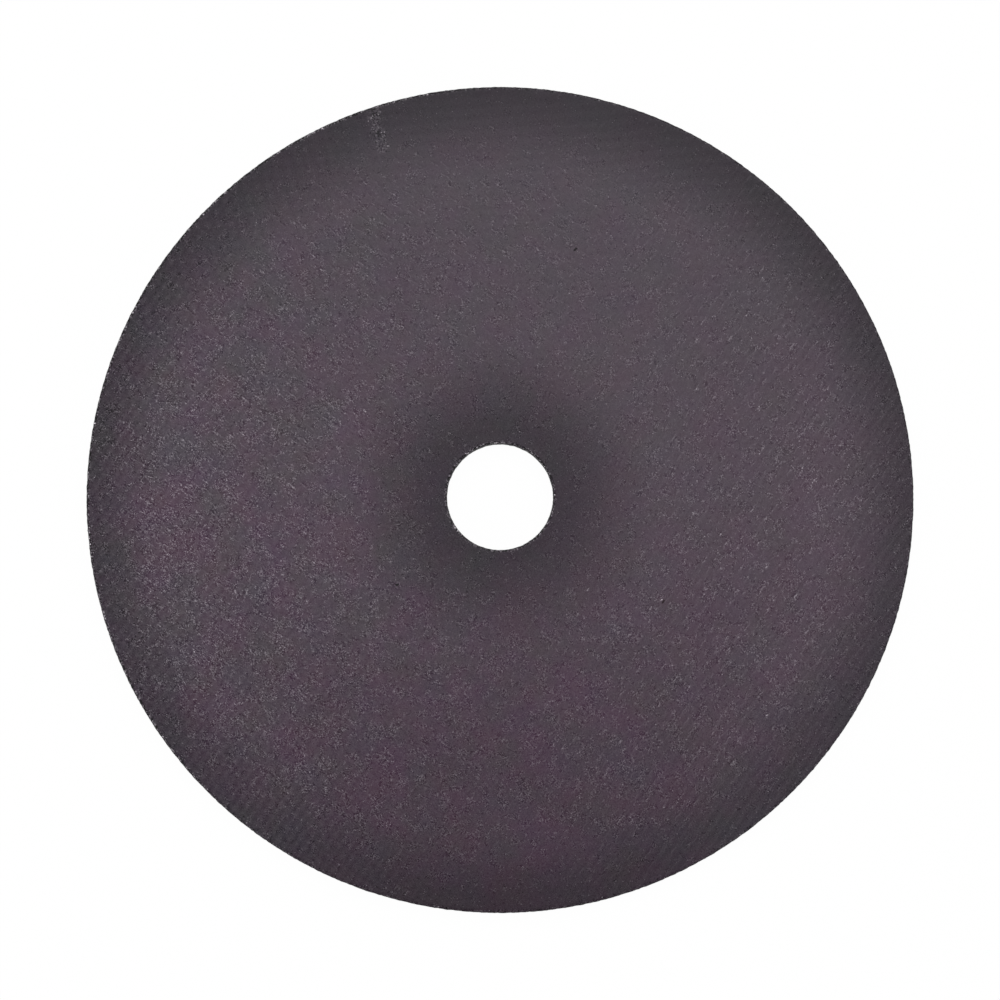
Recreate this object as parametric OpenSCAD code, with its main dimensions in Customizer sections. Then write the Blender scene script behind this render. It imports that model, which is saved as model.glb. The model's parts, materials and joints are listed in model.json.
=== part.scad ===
// Flat cut-off wheel for a small hand-held grinder.
// One moulded piece: a thin, plane-faced abrasive disc with a plain arbor hole.
// The wheel lies on its rear face, with its axis along +Z and the centre of that face at the origin.

/* [Wheel] */
// Outside diameter of the wheel
wheel_d = 75; // [40:0.5:180]
// Thickness of the wheel, from face to face
wheel_t = 1.6; // [0.8:0.1:4]

/* [Arbor hole] */
// Diameter of the arbor that the wheel slides onto
arbor_d = 9.525; // [5:0.005:25.4]
// Slip clearance between the arbor and the hole, on the diameter
arbor_clearance = 0.075; // [0.02:0.005:0.1]

/* [Edges] */
// Radius of the broken edge between each face and the rim
rim_edge_r = 0.2; // [0.05:0.01:0.35]
// Radius of the broken edge between each face and the arbor hole
bore_edge_r = 0.12; // [0.05:0.01:0.35]

/* [Hidden] */
$fn = 180;

wheel_r = wheel_d / 2;
bore_r = (arbor_d + arbor_clearance) / 2;
abrasive_colour = [0.33, 0.29, 0.325];

// Sharp corner left outside a quarter circle of radius r, with the corner's tip at the origin
module corner_waste(r) {
    difference() {
        square(r);
        translate([r, r]) circle(r);
    }
}

// Half section of the wheel in the X-Z plane: a plain rectangle with its four corners broken
module wheel_section() {
    difference() {
        translate([bore_r, 0]) square([wheel_r - bore_r, wheel_t]);
        translate([bore_r, 0]) corner_waste(bore_edge_r);
        translate([bore_r, wheel_t]) mirror([0, 1]) corner_waste(bore_edge_r);
        translate([wheel_r, 0]) mirror([1, 0]) corner_waste(rim_edge_r);
        translate([wheel_r, wheel_t]) rotate(180) corner_waste(rim_edge_r);
    }
}

module wheel() {
    color(abrasive_colour) rotate_extrude() wheel_section();
}

wheel();
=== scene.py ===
import json
import math

import bpy
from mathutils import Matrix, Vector


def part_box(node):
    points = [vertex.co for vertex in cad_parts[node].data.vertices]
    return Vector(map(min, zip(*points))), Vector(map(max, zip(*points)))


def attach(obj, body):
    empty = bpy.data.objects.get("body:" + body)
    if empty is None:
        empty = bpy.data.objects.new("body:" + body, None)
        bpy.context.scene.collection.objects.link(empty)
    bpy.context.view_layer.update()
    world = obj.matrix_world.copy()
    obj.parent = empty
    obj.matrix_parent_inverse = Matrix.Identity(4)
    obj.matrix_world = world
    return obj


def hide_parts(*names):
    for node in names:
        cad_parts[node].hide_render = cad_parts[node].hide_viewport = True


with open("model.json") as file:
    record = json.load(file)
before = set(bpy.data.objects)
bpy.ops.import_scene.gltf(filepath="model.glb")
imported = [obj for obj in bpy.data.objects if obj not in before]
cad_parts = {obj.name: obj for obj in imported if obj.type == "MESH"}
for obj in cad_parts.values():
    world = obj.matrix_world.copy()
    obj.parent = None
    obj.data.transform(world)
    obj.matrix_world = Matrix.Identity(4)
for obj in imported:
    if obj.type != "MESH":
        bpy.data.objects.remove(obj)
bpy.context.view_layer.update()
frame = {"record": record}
mm = 0.001

# Sizes of the moulded wheel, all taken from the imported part
wheelLow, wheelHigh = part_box("wheel")
wheelRadius = max(wheelHigh.x, wheelHigh.y)
wheelThickness = wheelHigh.z - wheelLow.z
arborHole = next(m for m in frame["record"]["mounts"] if m["name"] == "arbor_hole")
boreRadius = arborHole["dims"]["r_mm"] * mm
boreRound = (wheelThickness - arborHole["dims"]["length_mm"] * mm) / 2
print(f"frame: wheel {2 * wheelRadius / mm:.2f} x {wheelThickness / mm:.2f} mm, "
      f"bore {2 * boreRadius / mm:.2f} mm")


# Node tree helpers, which serve geometry and shader trees alike
def feedSocket(tree, socket, value):
    if isinstance(value, bpy.types.NodeSocket):
        tree.links.new(value, socket)
    elif isinstance(value, list):  # several strands into one join socket
        for strand in value:
            tree.links.new(strand, socket)
    else:
        socket.default_value = value


def addNode(tree, kind, feeds=None, **settings):
    node = tree.nodes.new(kind)
    for name, value in settings.items():
        setattr(node, name, value)
    for key, value in (feeds or {}).items():
        feedSocket(tree, node.inputs[key], value)
    return node


def maths(tree, operation, *terms):
    return addNode(tree, "ShaderNodeMath", dict(enumerate(terms)), operation=operation).outputs["Value"]


def vectorMaths(tree, operation, *terms):
    node = addNode(tree, "ShaderNodeVectorMath", dict(enumerate(terms)), operation=operation)
    return node.outputs["Value" if operation in ("DOT_PRODUCT", "LENGTH") else "Vector"]


def scaled(tree, vector, factor):
    node = addNode(tree, "ShaderNodeVectorMath", {"Vector": vector, "Scale": factor}, operation="SCALE")
    return node.outputs["Vector"]


def ease(tree, value, start, end, low=0.0, high=1.0):
    feeds = {0: value, 1: start, 2: end, 3: low, 4: high}
    return addNode(tree, "ShaderNodeMapRange", feeds, interpolation_type="SMOOTHSTEP").outputs["Result"]


def xyz(tree, x=0.0, y=0.0, z=0.0):
    return addNode(tree, "ShaderNodeCombineXYZ", {"X": x, "Y": y, "Z": z}).outputs["Vector"]


def axesOf(tree, vector):
    return addNode(tree, "ShaderNodeSeparateXYZ", {"Vector": vector}).outputs


def turnedAboutAxis(tree, vector, angle):
    feeds = {"Vector": vector, "Angle": angle}
    return addNode(tree, "ShaderNodeVectorRotate", feeds, rotation_type="Z_AXIS").outputs["Vector"]


def distanceFromAxis(tree, position):
    return vectorMaths(tree, "LENGTH", vectorMaths(tree, "MULTIPLY", position, (1.0, 1.0, 0.0)))


def noiseAt(tree, place, length, detail=2.0):
    return addNode(tree, "ShaderNodeTexNoise", {"Vector": place, "Scale": 1 / length, "Detail": detail})


# Adds up masks, each with a weight of its own
def weighted(tree, total, *parts):
    for mask, weight in parts:
        total = maths(tree, "MULTIPLY_ADD", mask, weight, total)
    return total


# The pressing cloth whose print covers both faces, and the glass net that shows through it
cloth = {
    "warpPitch": 0.80 * mm,
    "weftPitch": 0.68 * mm,
    "turn": math.radians(-35.4),
    "driftLength": 14 * mm,   # how slowly the yarns wander
    "drift": 0.16 * mm,       # how far they wander
    "overUnder": 0.30,        # how much the warp crowns stand above the weft crowns
}
net = {
    "warpPitch": 2.13 * mm,
    "weftPitch": 2.35 * mm,
    "turn": math.radians(40.5),
    "driftLength": 25 * mm,
    "drift": 0.35 * mm,
    "overUnder": 0.0,
}


def clothDrift(tree, position, weave):
    feeds = {"Vector": position, "Scale": 1 / weave["driftLength"], "Detail": 1.0}
    noise = addNode(tree, "ShaderNodeTexNoise", feeds, noise_dimensions="2D")
    centred = vectorMaths(tree, "SUBTRACT", noise.outputs["Color"], (0.5, 0.5, 0.5))
    return vectorMaths(tree, "MULTIPLY", centred, (2 * weave["drift"], 2 * weave["drift"], 0.0))


# Where a point lies across the two sets of yarns, counted in yarns
def yarnPlace(tree, position, weave):
    settled = vectorMaths(tree, "SUBTRACT", position, clothDrift(tree, position, weave))
    turned = turnedAboutAxis(tree, settled, -weave["turn"])
    pitches = (weave["warpPitch"], weave["weftPitch"], 1.0)
    counted = axesOf(tree, vectorMaths(tree, "DIVIDE", turned, pitches))
    return counted["X"], counted["Y"]


# Height of a plain weave: 1 on the crossings, 0 in the gaps, every other crossing a little prouder
def weaveHeight(tree, position, weave):
    waves, crossings = [], []
    for place in yarnPlace(tree, position, weave):
        waves.append(maths(tree, "COSINE", maths(tree, "MULTIPLY", place, 2 * math.pi)))
        crossings.append(maths(tree, "COSINE", maths(tree, "MULTIPLY", place, math.pi)))
    crowns = maths(tree, "MULTIPLY_ADD", maths(tree, "ADD", *waves), 0.25, 0.5)
    checker = maths(tree, "MULTIPLY", *crossings)
    return maths(tree, "MULTIPLY_ADD", checker, weave["overUnder"], crowns)


# The wheel itself, one closed skin: two cloth-printed faces, a gritty rim and a gritty bore
wheel = {
    "Wheel Radius": wheelRadius,
    "Bore Radius": boreRadius,
    "Thickness": wheelThickness,
    "Rim Round": 0.20 * mm,
    "Bore Round": boreRound,
    "Round Steps": 4,
    "Edge Lead": 0.20 * mm,    # flat strip between the printed face and each rounded edge
    "Cloth Depth": 0.040 * mm,
    "Net Depth": 0.010 * mm,
    "Grain Depth": 0.014 * mm,
    "Grit Depth": 0.05 * mm,
    "Grit Size": 0.36 * mm,
    "Rim Steps": 1000,
    "Bore Steps": 160,
    "Wall Steps": 7,
    "Weld Distance": 0.001 * mm,
    "Grain Radius": 0.11 * mm,
    "Grains Per Square Metre": 3.6e6,
    "Seed": 7,
}
# How the print and the grit share the skin
relief = {
    "margin": 0.7 * mm,              # the print fades out this far from each edge strip
    "patchLength": 6 * mm,           # size of the patches that are pressed more or less firmly
    "patchRange": (0.35, 0.65),
    "patchDepth": (0.25, 1.0),
    "gritRange": (0.25, 0.75),
    "gritTilt": (0.98, 0.6),         # where the walls' grit starts and is full
    "edgeTilt": 0.75,                # anything steeper has the finish of bare grit
    "grainTilt": 0.4,                # anything steeper carries loose grains
}
# How the loose grains of the walls sit, in grain radii
grainSeat = {"spacing": 1.5, "sunk": 0.9, "smallest": 0.55, "largest": 1.15}


def newTree(name, sizes):
    tree = bpy.data.node_groups.new(name, "GeometryNodeTree")
    kinds = {float: "NodeSocketFloat", int: "NodeSocketInt", bpy.types.Material: "NodeSocketMaterial"}
    for label, value in sizes.items():
        tree.interface.new_socket(label, in_out="INPUT", socket_type=kinds[type(value)])
    tree.interface.new_socket("Geometry", in_out="OUTPUT", socket_type="NodeSocketGeometry")
    return tree, tree.nodes.new("NodeGroupInput").outputs


# Runs a tree once and keeps its result as a plain mesh
def growPiece(name, tree, sizes):
    seedling = bpy.data.objects.new(name + "Seedling", bpy.data.meshes.new(name + "Seedling"))
    bpy.context.scene.collection.objects.link(seedling)
    modifier = seedling.modifiers.new(name, "NODES")
    modifier.node_group = tree
    for socket in tree.interface.items_tree:
        if socket.in_out == "INPUT":
            modifier[socket.identifier] = sizes[socket.name]
    evaluated = seedling.evaluated_get(bpy.context.evaluated_depsgraph_get())
    mesh = bpy.data.meshes.new_from_object(evaluated)
    bpy.data.objects.remove(seedling)
    mesh.name = name
    piece = bpy.data.objects.new(name, mesh)
    bpy.context.scene.collection.objects.link(piece)
    print(f"{name}: {len(mesh.vertices)} points, {len(mesh.polygons)} faces")
    return piece


def isBelow(tree, value, limit):
    feeds = {"A": value, "B": limit}
    return addNode(tree, "FunctionNodeCompare", feeds, operation="LESS_THAN").outputs["Result"]


def joinAll(tree, parts):
    return addNode(tree, "GeometryNodeJoinGeometry", {"Geometry": parts}).outputs["Geometry"]


def moved(tree, geometry, **changes):
    return addNode(tree, "GeometryNodeTransform", {"Geometry": geometry, **changes}).outputs["Geometry"]


def offsetPoints(tree, geometry, offset):
    feeds = {"Geometry": geometry, "Offset": offset}
    return addNode(tree, "GeometryNodeSetPosition", feeds).outputs["Geometry"]


def painted(tree, geometry, material, selection=True):
    feeds = {"Geometry": geometry, "Selection": selection, "Material": material}
    return addNode(tree, "GeometryNodeSetMaterial", feeds).outputs["Geometry"]


def skinNormal(tree):
    return addNode(tree, "GeometryNodeInputNormal").outputs["Normal"]


# 1 on a flat face, 0 on an upright wall
def tiltOf(tree, normal):
    return maths(tree, "ABSOLUTE", axesOf(tree, normal)["Z"])


# A sheet of half-yarn cells that follows the cloth, cut back to the printed ring
def clothSheet(tree, inner, outer, reach):
    halves = [cloth["warpPitch"] / 2, cloth["weftPitch"] / 2]
    feeds = {}
    for axis, half in zip("XY", halves):
        cells = maths(tree, "MULTIPLY", maths(tree, "CEIL", maths(tree, "DIVIDE", reach, half)), 2.0)
        feeds[f"Vertices {axis}"] = maths(tree, "ADD", cells, 1.0)
        feeds[f"Size {axis}"] = maths(tree, "MULTIPLY", cells, half)
    grid = addNode(tree, "GeometryNodeMeshGrid", feeds).outputs["Mesh"]
    turned = moved(tree, grid, Rotation=(0.0, 0.0, cloth["turn"]))
    spot = addNode(tree, "GeometryNodeInputPosition").outputs["Position"]
    drifted = offsetPoints(tree, turned, clothDrift(tree, spot, cloth))
    radius = distanceFromAxis(tree, spot)
    inRing = maths(tree, "MULTIPLY", maths(tree, "LESS_THAN", radius, outer),
                   maths(tree, "GREATER_THAN", radius, inner))
    # a cell stays only where all of its corners are in the ring
    corners = addNode(tree, "GeometryNodeFieldOnDomain", {"Value": inRing}, domain="POINT").outputs["Value"]
    feeds = {"Geometry": drifted, "Selection": isBelow(tree, corners, 0.99)}
    ring = addNode(tree, "GeometryNodeDeleteGeometry", feeds, domain="FACE").outputs["Geometry"]
    # every quad is split from its crossing to its gap, so that each crown is an even fan
    halfYarns = [maths(tree, "FLOOR", maths(tree, "MULTIPLY", place, 2.0))
                 for place in yarnPlace(tree, spot, cloth)]
    parity = maths(tree, "FLOORED_MODULO", maths(tree, "ADD", *halfYarns), 2.0)
    oddCells = addNode(tree, "FunctionNodeCompare", {"A": parity, "B": 0.5}).outputs["Result"]
    split = addNode(tree, "GeometryNodeTriangulate", {"Mesh": ring, "Selection": oddCells},
                    quad_method="FIXED_ALTERNATE").outputs["Mesh"]
    return addNode(tree, "GeometryNodeTriangulate", {"Mesh": split}, quad_method="FIXED").outputs["Mesh"]


# The strip that carries one face round an edge, down the wall and onto the other face
def edgeBand(tree, size, edge, radius):
    edgeRound, depth = size[f"{edge} Round"], size["Thickness"]
    flat = maths(tree, "ADD", edgeRound, size["Edge Lead"])
    below = maths(tree, "SUBTRACT", depth, edgeRound)
    strips = []

    def line(startX, startY, endX, endY, points=2):
        ends = {"Start": xyz(tree, startX, startY), "End": xyz(tree, endX, endY)}
        made = addNode(tree, "GeometryNodeCurvePrimitiveLine", ends).outputs["Curve"]
        feeds = {"Curve": made, "Count": points}
        strips.append(addNode(tree, "GeometryNodeResampleCurve", feeds).outputs["Curve"])

    def arc(y, startAngle):
        feeds = {"Resolution": size["Round Steps"], "Radius": edgeRound,
                 "Start Angle": startAngle, "Sweep Angle": math.pi / 2}
        made = addNode(tree, "GeometryNodeCurveArc", feeds).outputs["Curve"]
        strips.append(moved(tree, made, Translation=xyz(tree, back, y)))

    back, backFlat = maths(tree, "MULTIPLY", edgeRound, -1.0), maths(tree, "MULTIPLY", flat, -1.0)
    line(backFlat, 0.0, back, 0.0)
    arc(edgeRound, -math.pi / 2)
    line(0.0, edgeRound, 0.0, below, size["Wall Steps"])
    arc(below, 0.0)
    line(back, depth, backFlat, depth)
    inward = edge == "Bore"
    profile = moved(tree, joinAll(tree, strips), Scale=(-1.0 if inward else 1.0, 1.0, 1.0))
    ring = {"Resolution": size[f"{edge} Steps"], "Radius": radius}
    path = addNode(tree, "GeometryNodeCurvePrimitiveCircle", ring).outputs["Curve"]
    feeds = {"Curve": path, "Profile Curve": profile}
    swept = addNode(tree, "GeometryNodeCurveToMesh", feeds).outputs["Mesh"]
    if inward:
        return addNode(tree, "GeometryNodeFlipFaces", {"Mesh": swept}).outputs["Mesh"]
    return swept


# One printed face: the cloth sheet, with its ragged edges stitched to two true circles
def printedFace(tree, size, rimFlat, boreFlat):
    gap = cloth["weftPitch"] / 4
    sheet = clothSheet(tree, maths(tree, "ADD", boreFlat, gap), maths(tree, "SUBTRACT", rimFlat, gap),
                       size["Wheel Radius"])
    neighbours = addNode(tree, "GeometryNodeInputMeshEdgeNeighbors").outputs["Face Count"]
    feeds = {"Mesh": sheet, "Selection": isBelow(tree, neighbours, 1.5)}  # edges of only one face
    rings = [addNode(tree, "GeometryNodeMeshToCurve", feeds).outputs["Curve"]]
    for steps, radius in (("Rim Steps", rimFlat), ("Bore Steps", boreFlat)):
        feeds = {"Resolution": size[steps], "Radius": radius}
        rings.append(addNode(tree, "GeometryNodeCurvePrimitiveCircle", feeds).outputs["Curve"])
    stitches = addNode(tree, "GeometryNodeFillCurve", {"Curve": joinAll(tree, rings)}).outputs["Mesh"]
    return joinAll(tree, [sheet, stitches])


def wheelTree(sizes):
    tree, size = newTree("wheelBody", sizes)
    rimFlat = maths(tree, "SUBTRACT", size["Wheel Radius"],
                    maths(tree, "ADD", size["Rim Round"], size["Edge Lead"]))
    boreFlat = maths(tree, "ADD", size["Bore Radius"],
                     maths(tree, "ADD", size["Bore Round"], size["Edge Lead"]))
    front = printedFace(tree, size, rimFlat, boreFlat)
    lowered = xyz(tree, 0.0, 0.0, maths(tree, "MULTIPLY", size["Thickness"], -1.0))
    rear = moved(tree, front, Translation=lowered)
    rear = addNode(tree, "GeometryNodeFlipFaces", {"Mesh": rear}).outputs["Mesh"]
    rim = edgeBand(tree, size, "Rim", size["Wheel Radius"])
    bore = edgeBand(tree, size, "Bore", size["Bore Radius"])
    feeds = {"Geometry": joinAll(tree, [front, rear, rim, bore]), "Distance": size["Weld Distance"]}
    closed = addNode(tree, "GeometryNodeMergeByDistance", feeds).outputs["Geometry"]
    raised = moved(tree, closed, Translation=xyz(tree, 0.0, 0.0, size["Thickness"]))
    pressed = offsetPoints(tree, raised, pressedRelief(tree, size, rimFlat, boreFlat))
    smooth = addNode(tree, "GeometryNodeSetShadeSmooth", {"Geometry": pressed}).outputs["Geometry"]
    tilt = tiltOf(tree, skinNormal(tree))
    faced = painted(tree, smooth, size["Face Finish"])
    edged = painted(tree, faced, size["Edge Finish"], isBelow(tree, tilt, relief["edgeTilt"]))
    grains = looseGrains(tree, edged, isBelow(tree, tilt, relief["grainTilt"]), size)
    addNode(tree, "NodeGroupOutput", {"Geometry": joinAll(tree, [edged, grains])})
    return tree


# How far each point sinks below the plain blank: cloth print and net on the faces, grit on the walls
def pressedRelief(tree, size, rimFlat, boreFlat):
    spot = addNode(tree, "GeometryNodeInputPosition").outputs["Position"]
    normal = skinNormal(tree)
    tilt = tiltOf(tree, normal)
    radius = distanceFromAxis(tree, spot)
    fade = maths(tree, "MULTIPLY",
                 ease(tree, maths(tree, "SUBTRACT", rimFlat, radius), 0.0, relief["margin"]),
                 ease(tree, maths(tree, "SUBTRACT", radius, boreFlat), 0.0, relief["margin"]))
    patches = noiseAt(tree, spot, relief["patchLength"]).outputs["Fac"]
    firmness = ease(tree, patches, *relief["patchRange"], *relief["patchDepth"])
    strength = maths(tree, "MULTIPLY", fade, firmness)
    total = 0.0
    for weave, depth in ((cloth, "Cloth Depth"), (net, "Net Depth")):
        crown = 1 + weave["overUnder"]
        hollow = maths(tree, "SUBTRACT", crown, weaveHeight(tree, spot, weave))
        total = weighted(tree, total, (maths(tree, "MULTIPLY", hollow, strength), size[depth]))
    feeds = {"Vector": spot, "Scale": maths(tree, "DIVIDE", 1.0, size["Grit Size"]), "Detail": 1.0}
    grain = addNode(tree, "ShaderNodeTexNoise", feeds).outputs["Fac"]
    roughWall = maths(tree, "MULTIPLY", ease(tree, grain, *relief["gritRange"]),
                      ease(tree, tilt, *relief["gritTilt"]))
    total = weighted(tree, total, (maths(tree, "MULTIPLY", grain, fade), size["Grain Depth"]),
                     (roughWall, size["Grit Depth"]))
    return scaled(tree, normal, maths(tree, "MULTIPLY", total, -1.0))


# Single abrasive grains that stand out of the bond on the rim and in the bore
def looseGrains(tree, skin, walls, size):
    scatter = addNode(tree, "GeometryNodeDistributePointsOnFaces", {
        "Mesh": skin, "Selection": walls, "Seed": size["Seed"],
        "Distance Min": maths(tree, "MULTIPLY", size["Grain Radius"], grainSeat["spacing"]),
        "Density Max": size["Grains Per Square Metre"]}, distribute_method="POISSON").outputs
    depth = maths(tree, "MULTIPLY", size["Grain Radius"], -grainSeat["sunk"])
    sunk = offsetPoints(tree, scatter["Points"], scaled(tree, scatter["Normal"], depth))
    shape = addNode(tree, "GeometryNodeMeshIcoSphere", {"Radius": size["Grain Radius"], "Subdivisions": 1})
    stretch = addNode(tree, "FunctionNodeRandomValue", {
        0: (grainSeat["smallest"],) * 3, 1: (grainSeat["largest"],) * 3,
        "Seed": size["Seed"]}, data_type="FLOAT_VECTOR")
    turn = addNode(tree, "FunctionNodeRandomValue", {
        0: (0.0,) * 3, 1: (2 * math.pi,) * 3,
        "Seed": maths(tree, "ADD", size["Seed"], 1.0)}, data_type="FLOAT_VECTOR")
    placed = addNode(tree, "GeometryNodeInstanceOnPoints", {
        "Points": sunk, "Instance": shape.outputs["Mesh"],
        "Rotation": turn.outputs["Value"], "Scale": stretch.outputs["Value"]})
    real = addNode(tree, "GeometryNodeRealizeInstances", {"Geometry": placed.outputs["Instances"]})
    return painted(tree, real.outputs["Geometry"], size["Edge Finish"])


# Shader helpers
def newGroup(name, inputs, outputs):
    group = bpy.data.node_groups.new(name, "ShaderNodeTree")
    for label, kind in inputs.items():
        group.interface.new_socket(label, in_out="INPUT", socket_type=kind)
    for label in outputs:
        group.interface.new_socket(label, in_out="OUTPUT", socket_type="NodeSocketFloat")
    return group


def fromGroup(tree, group, *feeds):
    return addNode(tree, "ShaderNodeGroup", dict(enumerate(feeds)), node_tree=group).outputs


def mixColour(tree, factor, first, second):
    return addNode(tree, "ShaderNodeMix", {0: factor, 6: first, 7: second}, data_type="RGBA").outputs[2]


def newFinish(name):
    material = bpy.data.materials.new(name)
    material.use_nodes = True
    tree = material.node_tree
    shader = tree.nodes["Principled BSDF"]
    place = addNode(tree, "ShaderNodeTexCoord").outputs["Object"]
    return material, tree, shader, place


def feedBump(tree, shader, height):
    bump = addNode(tree, "ShaderNodeBump", {"Height": height, "Distance": 1.0})
    feedSocket(tree, shader.inputs["Normal"], bump.outputs["Normal"])


# Fine grain of the bonded abrasive, drawn out along the yarns that pressed it
brush = {"drawnOut": 0.58, "detail": 1.0, "roughness": 0.7}


# Lean 0 follows the weft's run, 1 the warp's
def brushedGroup():
    group = newGroup("brushedGrain", {"Place": "NodeSocketVector", "Grain": "NodeSocketFloat",
                                      "Lean": "NodeSocketFloat"}, ("Tone",))
    given = addNode(group, "NodeGroupInput").outputs
    turned = turnedAboutAxis(group, given["Place"], -cloth["turn"])
    perGrain = maths(group, "DIVIDE", 1.0, given["Grain"])
    runs = []
    for stretch in ((brush["drawnOut"], 1.0, 1.0), (1.0, brush["drawnOut"], 1.0)):
        feeds = {"Vector": vectorMaths(group, "MULTIPLY", turned, stretch), "Scale": perGrain,
                 "Detail": brush["detail"], "Roughness": brush["roughness"]}
        runs.append(addNode(group, "ShaderNodeTexNoise", feeds).outputs["Fac"])
    blend = addNode(group, "ShaderNodeMix", {0: given["Lean"], 2: runs[0], 3: runs[1]}).outputs[0]
    addNode(group, "NodeGroupOutput", {"Tone": maths(group, "MULTIPLY_ADD", blend, 2.0, -1.0)})
    return group


# Single grains, as masks that each finish colours in its own way
speckle = {"outline": (0.7, 0.25)}   # where a grain's tone starts and is full, in grains from its middle


def speckleGroup():
    group = newGroup("gritSpeckle", {"Place": "NodeSocketVector", "Grain": "NodeSocketFloat",
                                     "Density": "NodeSocketFloat"}, ("Facet", "Glint", "Pit"))
    given = addNode(group, "NodeGroupInput").outputs
    feeds = {"Vector": given["Place"], "Scale": maths(group, "DIVIDE", 1.0, given["Grain"])}
    cells = addNode(group, "ShaderNodeTexVoronoi", feeds).outputs
    luck = axesOf(group, cells["Color"])
    facet = maths(group, "SUBTRACT", luck["Z"], 0.5)  # each grain has its own shade
    middle = ease(group, cells["Distance"], *speckle["outline"])
    rare = maths(group, "SUBTRACT", 1.0, given["Density"])
    glint = maths(group, "MULTIPLY", ease(group, luck["X"], rare, 1.0), middle)
    pit = maths(group, "MULTIPLY", ease(group, luck["Y"], rare, 1.0), middle)
    addNode(group, "NodeGroupOutput", {"Facet": facet, "Glint": glint, "Pit": pit})
    return group


# Short scratches where single yarns of the pressing cloth bit into the face, drawn as painted highlight on
# one flank and painted shade on the other, measured in yarns
scratch = {
    "crook": 0.5 * mm,        # length and size of the bends in a yarn
    "warpHighlightSide": 0.08,          # the painted highlight lies this far to one side, the painted shade as far to the other
    "weftHighlightSide": -0.09,
    "stray": 0.5,             # how far a scratch strays across its yarn
    "width": (0.12, 0.02),    # where its tone starts and is full
    "paintedShadedFlank": 0.6,               # tone of the painted shade against the painted highlight
    "taper": (1.3, 0.5),      # where it starts and is full along the crown of its yarn
    "bite": (0.0, 1.3),       # range of luck over which it bites
}


# For each set of yarns its scratches, as painted highlight on one flank less painted shade on the other,
# and the even waves that all the yarns leave together
def yarnPrintGroup():
    labels = ("Warp Painted Flanks", "Weft Painted Flanks", "Warp Wave", "Weft Wave", "Rising Wave", "Falling Wave")
    group = newGroup("yarnPrint", {"Place": "NodeSocketVector"}, labels)
    place = addNode(group, "NodeGroupInput").outputs["Place"]
    bends = noiseAt(group, place, scratch["crook"], 1.0).outputs["Color"]
    bends = vectorMaths(group, "SUBTRACT", bends, (0.5,) * 3)
    bent = vectorMaths(group, "MULTIPLY_ADD", bends, (scratch["crook"],) * 3, place)
    warp, weft = yarnPlace(group, bent, cloth)
    yarnSets = ((warp, weft, 0.0, scratch["warpHighlightSide"]), (weft, warp, 1.0, scratch["weftHighlightSide"]))
    prints = []
    for across, along, lift, highlightSide in yarnSets:
        yarn = maths(group, "ROUND", across)
        step = maths(group, "ADD", maths(group, "ADD", along, yarn), lift)
        crossing = maths(group, "ROUND", maths(group, "MULTIPLY", step, 0.5))
        luck = addNode(group, "ShaderNodeTexWhiteNoise", {"Vector": xyz(group, yarn, crossing, lift)})
        luck = axesOf(group, luck.outputs["Color"])
        crown = maths(group, "COSINE", maths(group, "MULTIPLY", step, math.pi))
        start, full = scratch["taper"]
        length = ease(group, crown, maths(group, "SUBTRACT", luck["Z"], start), full)
        bite = maths(group, "MULTIPLY", length, ease(group, luck["X"], *scratch["bite"]))
        aside = maths(group, "SUBTRACT", across, weighted(group, yarn, (luck["Y"], scratch["stray"])))
        banks = []
        for middle in (highlightSide - scratch["stray"] / 2, -highlightSide - scratch["stray"] / 2):
            away = maths(group, "ABSOLUTE", maths(group, "SUBTRACT", aside, middle))
            banks.append(ease(group, away, *scratch["width"]))
        # painted highlight on one flank of the scratch, painted shade on the other
        lit, paintedShadedFlank = banks
        prints.append(maths(group, "MULTIPLY", weighted(group, lit, (paintedShadedFlank, -scratch["paintedShadedFlank"])), bite))
    warp, weft = yarnPlace(group, place, cloth)
    turns = [maths(group, "MULTIPLY", across, 2.0) for across in (warp, weft)]
    turns += [maths(group, "ADD", warp, weft), maths(group, "SUBTRACT", warp, weft)]
    prints += [maths(group, "COSINE", maths(group, "MULTIPLY", turn, math.pi)) for turn in turns]
    addNode(group, "NodeGroupOutput", dict(zip(labels, prints)))
    return group


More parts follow.
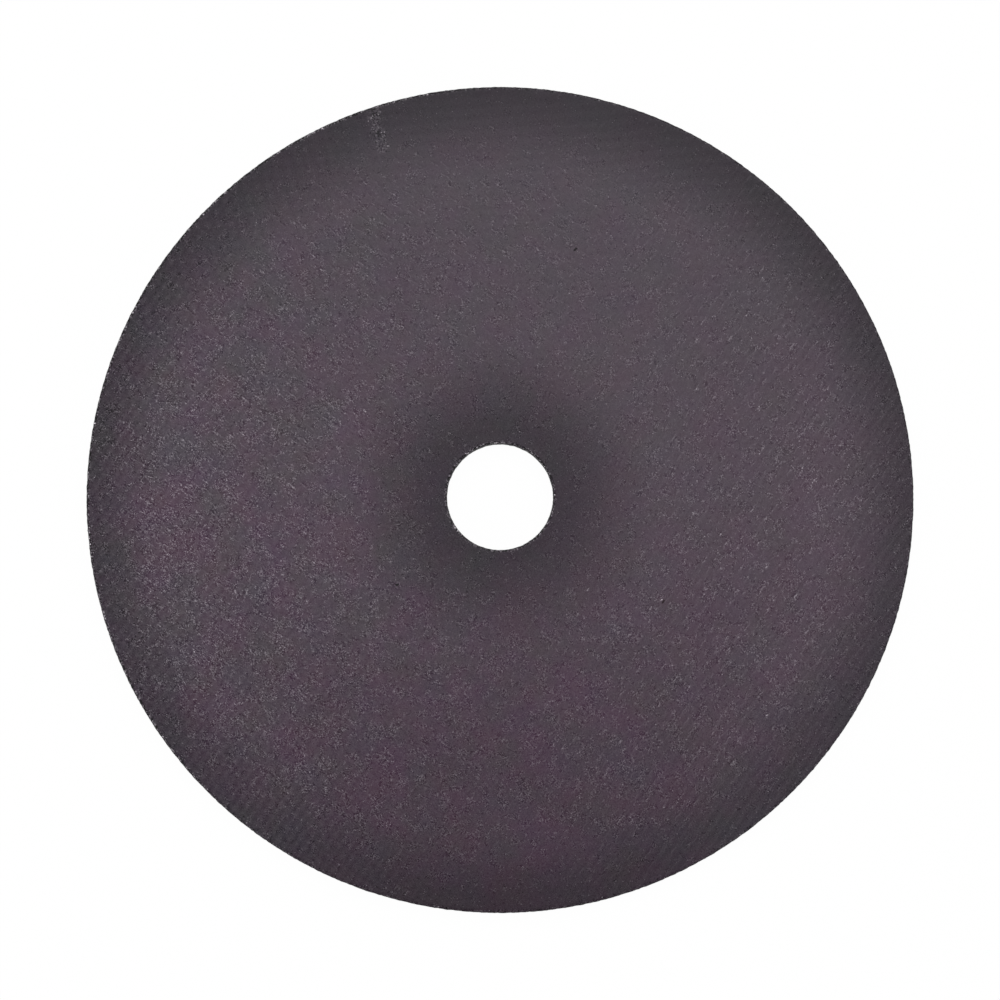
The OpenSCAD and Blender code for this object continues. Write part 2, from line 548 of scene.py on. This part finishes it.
# Cloth-pressed face: purple-grey bond, darker and greyer towards the rim and the bore
face = {
    # Both ramps run from the near edge (0) to the far edge (1): the bond's own colour with painted sheen,
    # darker and more plum at the near edge and greyer towards the far one
    "bond": {
        0.15: (0.0570, 0.0368, 0.0530, 1.0),
        0.50: (0.0763, 0.0548, 0.0726, 1.0),
        0.80: (0.0688, 0.0536, 0.0681, 1.0),
    },
    "edge": {
        0.00: (0.0290, 0.0180, 0.0268, 1.0),
        0.22: (0.0364, 0.0286, 0.0374, 1.0),
        0.55: (0.0317, 0.0246, 0.0326, 1.0),
        0.80: (0.0282, 0.0223, 0.0293, 1.0),
    },
    "flankSheenLift": 0.45,   # how far the two near flanks take the paler colours from beyond them, as painted sheen
    "plum": (1.03, 0.975, 1.03, 1.0),
    "grey": (0.97, 1.025, 0.97, 1.0),
    "violet": (0.998, 0.988, 1.008, 1.0),
    "mottleLength": 3.2 * mm,
    "mottleDetail": 3.0,
    "mottleRange": (0.36, 0.64),
    "tintRange": 0.26,
    "tintLeast": 0.45,   # share of the tint away from its own side, and what that side adds
    "tintRise": 0.57,
    "fadeStretch": (0.98, 1.02, 0.0),
    "fadeCentre": (0.0, -0.15 * mm, 0.0),
    "rimFade": (38.3 * mm, 29.3 * mm),
    "boreFade": (4.4 * mm, 15.7 * mm),
    "grain": 0.085 * mm,
    "grainGrey": (0.067, 0.062, 0.067),   # all tones below brighten or dim this grey
    "grainTone": 1.50,
    "facetTone": 1.42,
    "glintTone": 0.9,
    "pitTone": 0.95,
    # tone of the scratches' painted highlight and painted shade
    "paintedFlankTone": 0.82,
    "paintedFlankLeast": 0.35,    # share of the scratches' tone where the grain is sparse
    "rimPrint": 0.45,    # share of the warp's scratches that is left by the rim and the bore
    "blackest": (0.003,) * 3,
    "density": 0.15,
    "toneRange": (-0.5, 0.5),
    "roughness": (0.42, 0.62),
    "specular": 0.20,
    "bumpDepth": 0.030 * mm,
}
# Clusters of dense grain, which lean towards one side and thin out by the rim and the bore
clusters = {
    "length": 0.65 * mm,
    "slope": {"X": -0.23, "Y": -0.14},
    "bow": {"X": 0.27, "Y": -0.46},
    "coverLean": 0.12,
    "coverInside": 0.10,
    "coverRange": (0.43, 0.58),
    "strengthRange": (0.28, 1.05),
    "strengthLean": 0.7,
    "strengthInside": 0.35,
}
# The side where each effect shows: its heading in degrees, and where across the wheel it starts and is full
sides = {
    "tint": (225.0, -0.8, 0.6),
    "warp": (-10.0, -0.3, 0.6),
    "weft": (140.0, -0.3, 0.6),
    # the rim's chips are partly real and partly painted glint, gathered on the side where the light catches
    # the rim
    "chippedAndGlintRim": (160.0, 0.2, 0.7),
}
# Even waves of the weave, each with the side where it shows
weaveWaves = (
    {"wave": "Warp Wave", "side": (195.0, 0.2, 0.8), "tone": 0.070},
    {"wave": "Warp Wave", "side": (-12.0, 0.1, 0.7), "tone": 0.045},
    {"wave": "Weft Wave", "side": (200.0, 0.1, 0.8), "tone": 0.030},
    {"wave": "Rising Wave", "side": (180.0, 0.0, 0.7), "tone": 0.033},
    {"wave": "Falling Wave", "side": (90.0, 0.0, 0.6), "tone": 0.022},
)
# Broken edges, where single grains are torn out or shine; the shine is painted glint, gathered on the side
# of the rim where the light catches it
chips = {
    "grain": 0.135 * mm,
    "density": 0.92,
    "scuffDensity": 0.29,
    "rim": (37.13 * mm, 37.37 * mm),
    "bore": (5.14 * mm, 4.87 * mm),
    "dimRim": 0.2,     # share of the chips on the dim side of the rim, away from where the light catches it
    "glintTone": 1.0,
    "pitTone": 3.2,
    "facetTone": 3.6,
}
# Wear and flaws of the front face, as lines in mm: a pale scuff by the rim, pits and large pale grains
marks = {
    "scuff": {
        "lines": ((-11.5, 36.6, -11.4, 34.4), (-11.4, 34.4, -10.7, 31.9)),
        "reach": 0.85 * mm,
        "tone": 0.18,
    },
    "pits": {
        "lines": ((6.80, 22.46, 6.92, 22.62), (-9.36, -7.95, -9.24, -7.98), (14.70, -9.56, 14.80, -9.44)),
        "reach": 0.15 * mm,
        "tone": -3.0,
    },
    "paleGrains": {
        "lines": ((-16.95, -5.9, -16.8, -6.0), (-24.0, -8.5, -23.9, -8.7),
                  (7.9, -8.45, 8.0, -8.35), (14.55, -9.4, 14.65, -9.3)),
        "reach": 0.12 * mm,
        "tone": 1.3,
    },
}
# Ragged outlines of the marks, in shares of a mark's reach
ragged = {"length": 0.17 * mm, "depth": 2.2, "outline": (0.8, 0.3)}


# Share of an effect on one side of the wheel
def sideShare(tree, place, heading, start, end):
    angle = math.radians(heading)
    towards = Vector((math.cos(angle), math.sin(angle), 0.0)) / wheelRadius
    return ease(tree, vectorMaths(tree, "DOT_PRODUCT", place, towards), start, end)


# 1 on the open face, 0 at the rim and at the bore
def clearOfEdges(tree, place, radius):
    leaning = vectorMaths(tree, "SUBTRACT", place, face["fadeCentre"])
    fadeRadius = vectorMaths(tree, "LENGTH", vectorMaths(tree, "MULTIPLY", leaning, face["fadeStretch"]))
    return maths(tree, "MULTIPLY", ease(tree, fadeRadius, *face["rimFade"]),
                 ease(tree, radius, *face["boreFade"]))


# How strongly the grain shows
def grainStrength(tree, place, clear):
    parts = axesOf(tree, scaled(tree, place, 1 / wheelRadius))
    lean = 0.0
    for axis in "XY":
        square = maths(tree, "MULTIPLY", parts[axis], parts[axis])
        lean = weighted(tree, lean, (parts[axis], clusters["slope"][axis]), (square, clusters["bow"][axis]))
    inside = maths(tree, "SUBTRACT", clear, 1.0)
    cover = weighted(tree, noiseAt(tree, place, clusters["length"]).outputs["Fac"],
                     (lean, clusters["coverLean"]), (inside, clusters["coverInside"]))
    strength = ease(tree, cover, *clusters["coverRange"], *clusters["strengthRange"])
    for part, weight in ((lean, clusters["strengthLean"]), (inside, clusters["strengthInside"])):
        strength = maths(tree, "MULTIPLY", strength, weighted(tree, 1.0, (part, weight)))
    return strength


# The bond's colour from the near edge of the wheel to the far one, with painted sheen: darker and more plum
# at the near edge, greyer towards the far one
def bondAndSheenAcross(tree, place, stops):
    parts = axesOf(tree, scaled(tree, place, 1 / wheelRadius))
    near = maths(tree, "MAXIMUM", maths(tree, "MULTIPLY", parts["Y"], -1.0), 0.0)
    flanks = maths(tree, "MULTIPLY", maths(tree, "MULTIPLY", parts["X"], parts["X"]), near)
    across = weighted(tree, 0.5, (parts["Y"], 0.5), (flanks, face["flankSheenLift"]))
    ramp = addNode(tree, "ShaderNodeValToRGB", {"Fac": across})
    while len(ramp.color_ramp.elements) < len(stops):
        ramp.color_ramp.elements.new(0.5)
    for element, (spot, colour) in zip(ramp.color_ramp.elements, stops.items()):
        element.position = spot
        element.color = colour
    return ramp.outputs["Color"]


# The bond's colour with painted sheen across the wheel, and its plum and grey patches, which are strongest
# on one side
def bondAndSheenColour(tree, place, clear):
    mottle = noiseAt(tree, place, face["mottleLength"], face["mottleDetail"]).outputs
    patches = mixColour(tree, ease(tree, mottle["Fac"], *face["mottleRange"]), face["grey"], face["plum"])
    share = sideShare(tree, place, *sides["tint"])
    tint = vectorMaths(tree, "SUBTRACT", mottle["Color"], (0.5,) * 3)
    tint = vectorMaths(tree, "MULTIPLY_ADD", tint, (face["tintRange"],) * 3,
                       vectorMaths(tree, "SUBTRACT", patches, (1.0,) * 3))
    tint = scaled(tree, tint, weighted(tree, face["tintLeast"], (share, face["tintRise"])))
    tint = vectorMaths(tree, "ADD", tint, mixColour(tree, share, (1.0,) * 4, face["violet"]))
    edge, bond = (bondAndSheenAcross(tree, place, face[zone]) for zone in ("edge", "bond"))
    return vectorMaths(tree, "MULTIPLY", mixColour(tree, clear, edge, bond), tint)


# Distance in the plane of the face from a straight line
def lineDistance(tree, place, start, end):
    run = end - start
    offset = vectorMaths(tree, "SUBTRACT", vectorMaths(tree, "MULTIPLY", place, (1.0, 1.0, 0.0)), start)
    along = vectorMaths(tree, "DOT_PRODUCT", offset, run / run.length_squared)
    along = addNode(tree, "ShaderNodeClamp", {"Value": along}).outputs["Result"]
    return vectorMaths(tree, "LENGTH", vectorMaths(tree, "SUBTRACT", offset, scaled(tree, run, along)))


# Masks of the flaws on the front face
def faceMarks(tree, place):
    front = maths(tree, "GREATER_THAN", axesOf(tree, place)["Z"], wheelThickness / 2)
    uneven = maths(tree, "SUBTRACT", noiseAt(tree, place, ragged["length"]).outputs["Fac"], 0.5)
    masks = {}
    for name, mark in marks.items():
        nearest = 1.0
        for x1, y1, x2, y2 in mark["lines"]:
            away = lineDistance(tree, place, Vector((x1, y1, 0.0)) * mm, Vector((x2, y2, 0.0)) * mm)
            nearest = maths(tree, "MINIMUM", nearest, away)
        torn = maths(tree, "MULTIPLY_ADD", uneven, ragged["depth"] * mark["reach"], nearest)
        outline = (share * mark["reach"] for share in ragged["outline"])
        masks[name] = maths(tree, "MULTIPLY", ease(tree, torn, *outline), front)
    return masks


# Tones of the yarn print: scratches, drawn as painted highlight and shade on their flanks, where the grain
# is dense, and the even waves of the weave
def yarnTones(tree, place, yarns, clear, strength, warpRun):
    rimPrint, paintedFlankLeast = face["rimPrint"], face["paintedFlankLeast"]
    warpShare = maths(tree, "MULTIPLY", warpRun, weighted(tree, rimPrint, (clear, 1 - rimPrint)))
    weftShare = maths(tree, "MULTIPLY", sideShare(tree, place, *sides["weft"]), clear)
    paintedFlanks = weighted(tree, maths(tree, "MULTIPLY", yarns["Warp Painted Flanks"], warpShare),
                    (yarns["Weft Painted Flanks"], weftShare))
    paintedFlanks = maths(tree, "MULTIPLY", paintedFlanks, weighted(tree, paintedFlankLeast, (strength, 1 - paintedFlankLeast)))
    tones = [(paintedFlanks, face["paintedFlankTone"])]
    for wave in weaveWaves:
        share = sideShare(tree, place, *wave["side"])
        tones.append((maths(tree, "MULTIPLY", yarns[wave["wave"]], share), wave["tone"]))
    return tones


# Tones of the chipped edges, whose shine is partly painted glint, and of the scuff
def chipTones(tree, place, radius, speckles, scuff):
    chippedAndGlintSide = sideShare(tree, place, *sides["chippedAndGlintRim"])
    rimSide = weighted(tree, chips["dimRim"], (chippedAndGlintSide, 1 - chips["dimRim"]))
    rimShare = maths(tree, "MULTIPLY", ease(tree, radius, *chips["rim"]), rimSide)
    brokenAndGlinting = maths(tree, "MAXIMUM", rimShare, ease(tree, radius, *chips["bore"]))
    brokenAndGlinting = maths(tree, "MAXIMUM", maths(tree, "MULTIPLY", brokenAndGlinting, chips["density"]),
                   maths(tree, "MULTIPLY", scuff, chips["scuffDensity"]))
    chipped = fromGroup(tree, speckles, place, chips["grain"], brokenAndGlinting)
    facets = maths(tree, "MULTIPLY", chipped["Facet"], brokenAndGlinting)
    return [(chipped["Glint"], chips["glintTone"]), (chipped["Pit"], -chips["pitTone"]),
            (facets, chips["facetTone"])]


def pressedFace(brushed, speckles, yarnPrint):
    material, tree, shader, place = newFinish("pressedFace")
    radius = distanceFromAxis(tree, place)
    clear = clearOfEdges(tree, place, radius)
    strength = grainStrength(tree, place, clear)
    warpRun = sideShare(tree, place, *sides["warp"])
    tone = fromGroup(tree, brushed, place, face["grain"], warpRun)["Tone"]
    density = maths(tree, "MULTIPLY", strength, face["density"])
    grain = fromGroup(tree, speckles, place, face["grain"], density)
    rough = weighted(tree, maths(tree, "MULTIPLY", tone, face["grainTone"]),
                     (grain["Facet"], face["facetTone"]))
    yarns = fromGroup(tree, yarnPrint, place)
    flaws = faceMarks(tree, place)
    # grain, yarn print with the painted highlight and shade of its scratches, chipped edges with painted
    # glint, and flaws, all in grey
    shade = weighted(tree, maths(tree, "MULTIPLY", rough, strength),
                     (grain["Glint"], face["glintTone"]), (grain["Pit"], -face["pitTone"]),
                     *yarnTones(tree, place, yarns, clear, strength, warpRun),
                     *chipTones(tree, place, radius, speckles, flaws["scuff"]),
                     *((flaws[name], mark["tone"]) for name, mark in marks.items()))
    shade = maths(tree, "SUBTRACT", maths(tree, "EXPONENT", shade), 1.0)
    # the bond's colour, with painted sheen across the wheel
    colour = bondAndSheenColour(tree, place, clear)
    base = vectorMaths(tree, "ADD", colour, scaled(tree, face["grainGrey"], shade))
    feedSocket(tree, shader.inputs["Base Color"], vectorMaths(tree, "MAXIMUM", base, face["blackest"]))
    roughness = ease(tree, tone, *face["toneRange"], *face["roughness"])
    feedSocket(tree, shader.inputs["Roughness"], roughness)
    shader.inputs["Specular IOR Level"].default_value = face["specular"]
    height = maths(tree, "MULTIPLY", maths(tree, "MULTIPLY", tone, strength), face["bumpDepth"])
    feedBump(tree, shader, height)
    return material


# Bare grit of the rim and the bore
grit = {
    "bond": (0.024, 0.020, 0.024, 1.0),
    "pale": (0.420, 0.410, 0.415, 1.0),
    "grain": 0.14 * mm,
    "density": 0.55,
    "pitShade": 0.90,
    "roughness": 0.65,
    "specular": 0.10,
    "lean": 0.5,
    "bumpDepth": 0.03 * mm,
}


def bareGrit(brushed, speckles):
    material, tree, shader, place = newFinish("bareGrit")
    grain = fromGroup(tree, speckles, place, grit["grain"], grit["density"])
    colour = mixColour(tree, grain["Glint"], grit["bond"], grit["pale"])
    shade = weighted(tree, 1.0, (grain["Pit"], -grit["pitShade"]))
    feedSocket(tree, shader.inputs["Base Color"], scaled(tree, colour, shade))
    shader.inputs["Roughness"].default_value = grit["roughness"]
    shader.inputs["Specular IOR Level"].default_value = grit["specular"]
    tone = fromGroup(tree, brushed, place, grit["grain"], grit["lean"])["Tone"]
    feedBump(tree, shader, maths(tree, "MULTIPLY", tone, grit["bumpDepth"]))
    return material


brushed = brushedGroup()
speckles = speckleGroup()
wheel["Face Finish"] = pressedFace(brushed, speckles, yarnPrintGroup())
wheel["Edge Finish"] = bareGrit(brushed, speckles)
print("finishes: cloth-pressed faces and bare grit")
body = growPiece("wheelBody", wheelTree(wheel), wheel)
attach(body, "root")
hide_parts("wheel")

# White table with a low surround, which shows as plain white and keeps a trace of the wheel's shadow
table = {"size": 4.0, "surround": 0.7, "white": (0.95, 0.95, 0.95, 1.0), "veil": 0.98}


def whiteTable():
    half = table["size"] / 2
    mesh = bpy.data.meshes.new("table")
    around = ((-half, -half), (half, -half), (half, half), (-half, half))
    corners = [(x, y, wheelLow.z + rise) for rise in (0.0, table["surround"]) for x, y in around]
    walls = [(side, side + 4, (side + 1) % 4 + 4, (side + 1) % 4) for side in range(4)]
    mesh.from_pydata(corners, [], [(0, 1, 2, 3)] + walls)
    floor = bpy.data.objects.new("table", mesh)
    bpy.context.scene.collection.objects.link(floor)
    material = bpy.data.materials.new("whiteTable")
    material.use_nodes = True
    tree = material.node_tree
    tree.nodes.clear()
    paint = addNode(tree, "ShaderNodeBsdfDiffuse", {"Color": table["white"]}).outputs["BSDF"]
    glow = addNode(tree, "ShaderNodeEmission", {"Strength": 1.0}).outputs["Emission"]
    path = addNode(tree, "ShaderNodeLightPath").outputs
    mirrored = maths(tree, "MAXIMUM", path["Is Glossy Ray"], path["Is Transmission Ray"])
    seen = maths(tree, "MULTIPLY", maths(tree, "MAXIMUM", path["Is Camera Ray"], mirrored), table["veil"])
    blend = addNode(tree, "ShaderNodeMixShader", {0: seen, 1: paint, 2: glow})
    addNode(tree, "ShaderNodeOutputMaterial", {"Surface": blend.outputs["Shader"]})
    mesh.materials.append(material)
    print("table: white, under the wheel")


whiteTable()

# Soft boxes: a wide one overhead beyond the far edge and a small one at each side, in a pale room
light = {
    "room": 0.32,
    "boxes": (
        {"name": "farBox", "place": (0.020, 0.17, 0.33), "width": 0.55, "height": 0.33, "power": 1.29},
        {"name": "leftBox", "place": (-0.16, -0.09, 0.10), "width": 0.08, "height": 0.08, "power": 0.066},
        {"name": "rightBox", "place": (0.14, -0.13, 0.10), "width": 0.08, "height": 0.08, "power": 0.050},
    ),
}


def studioLight():
    world = bpy.data.worlds.new("paleRoom")
    bpy.context.scene.world = world
    world.use_nodes = True
    room = world.node_tree.nodes["Background"]
    room.inputs["Color"].default_value = (1.0, 1.0, 1.0, 1.0)
    room.inputs["Strength"].default_value = light["room"]
    for box in light["boxes"]:
        lamp = bpy.data.lights.new(box["name"], "AREA")
        lamp.shape = "RECTANGLE"
        lamp.size = box["width"]
        lamp.size_y = box["height"]
        lamp.energy = box["power"]
        stand = bpy.data.objects.new(box["name"], lamp)
        stand.location = box["place"]
        stand.rotation_euler = (-Vector(box["place"])).to_track_quat("-Z", "Y").to_euler()
        bpy.context.scene.collection.objects.link(stand)
    print(f"light: {len(light['boxes'])} soft boxes and a pale room")


studioLight()

# Camera almost square above the wheel, a touch on the near side
camera = {
    "distance": 225 * mm,
    "tilt": math.radians(2.63),
    "wheelInFrame": 0.8282,   # share of the frame's width that the wheel fills
    "aimBelowCentre": 0.295 * mm,
    "sensor": 36.0,
    "nearClip": 0.01,
}


def overheadCamera():
    data = bpy.data.cameras.new("overhead")
    halfFrame = wheelRadius / camera["wheelInFrame"]
    data.sensor_width = camera["sensor"]
    data.lens = camera["sensor"] / 2 * camera["distance"] / halfFrame
    data.clip_start = camera["nearClip"]
    eye = bpy.data.objects.new("overhead", data)
    aim = Vector((0.0, -camera["aimBelowCentre"], wheelHigh.z))
    back = Vector((0.0, -math.sin(camera["tilt"]), math.cos(camera["tilt"])))
    eye.location = aim + back * camera["distance"]
    eye.rotation_euler = (camera["tilt"], 0.0, 0.0)
    bpy.context.scene.collection.objects.link(eye)
    bpy.context.scene.camera = eye
    print(f"camera: {data.lens:.1f} mm lens, {camera['distance'] / mm:.0f} mm above the wheel")


overheadCamera()
bpy.context.scene.view_settings.view_transform = "Standard"
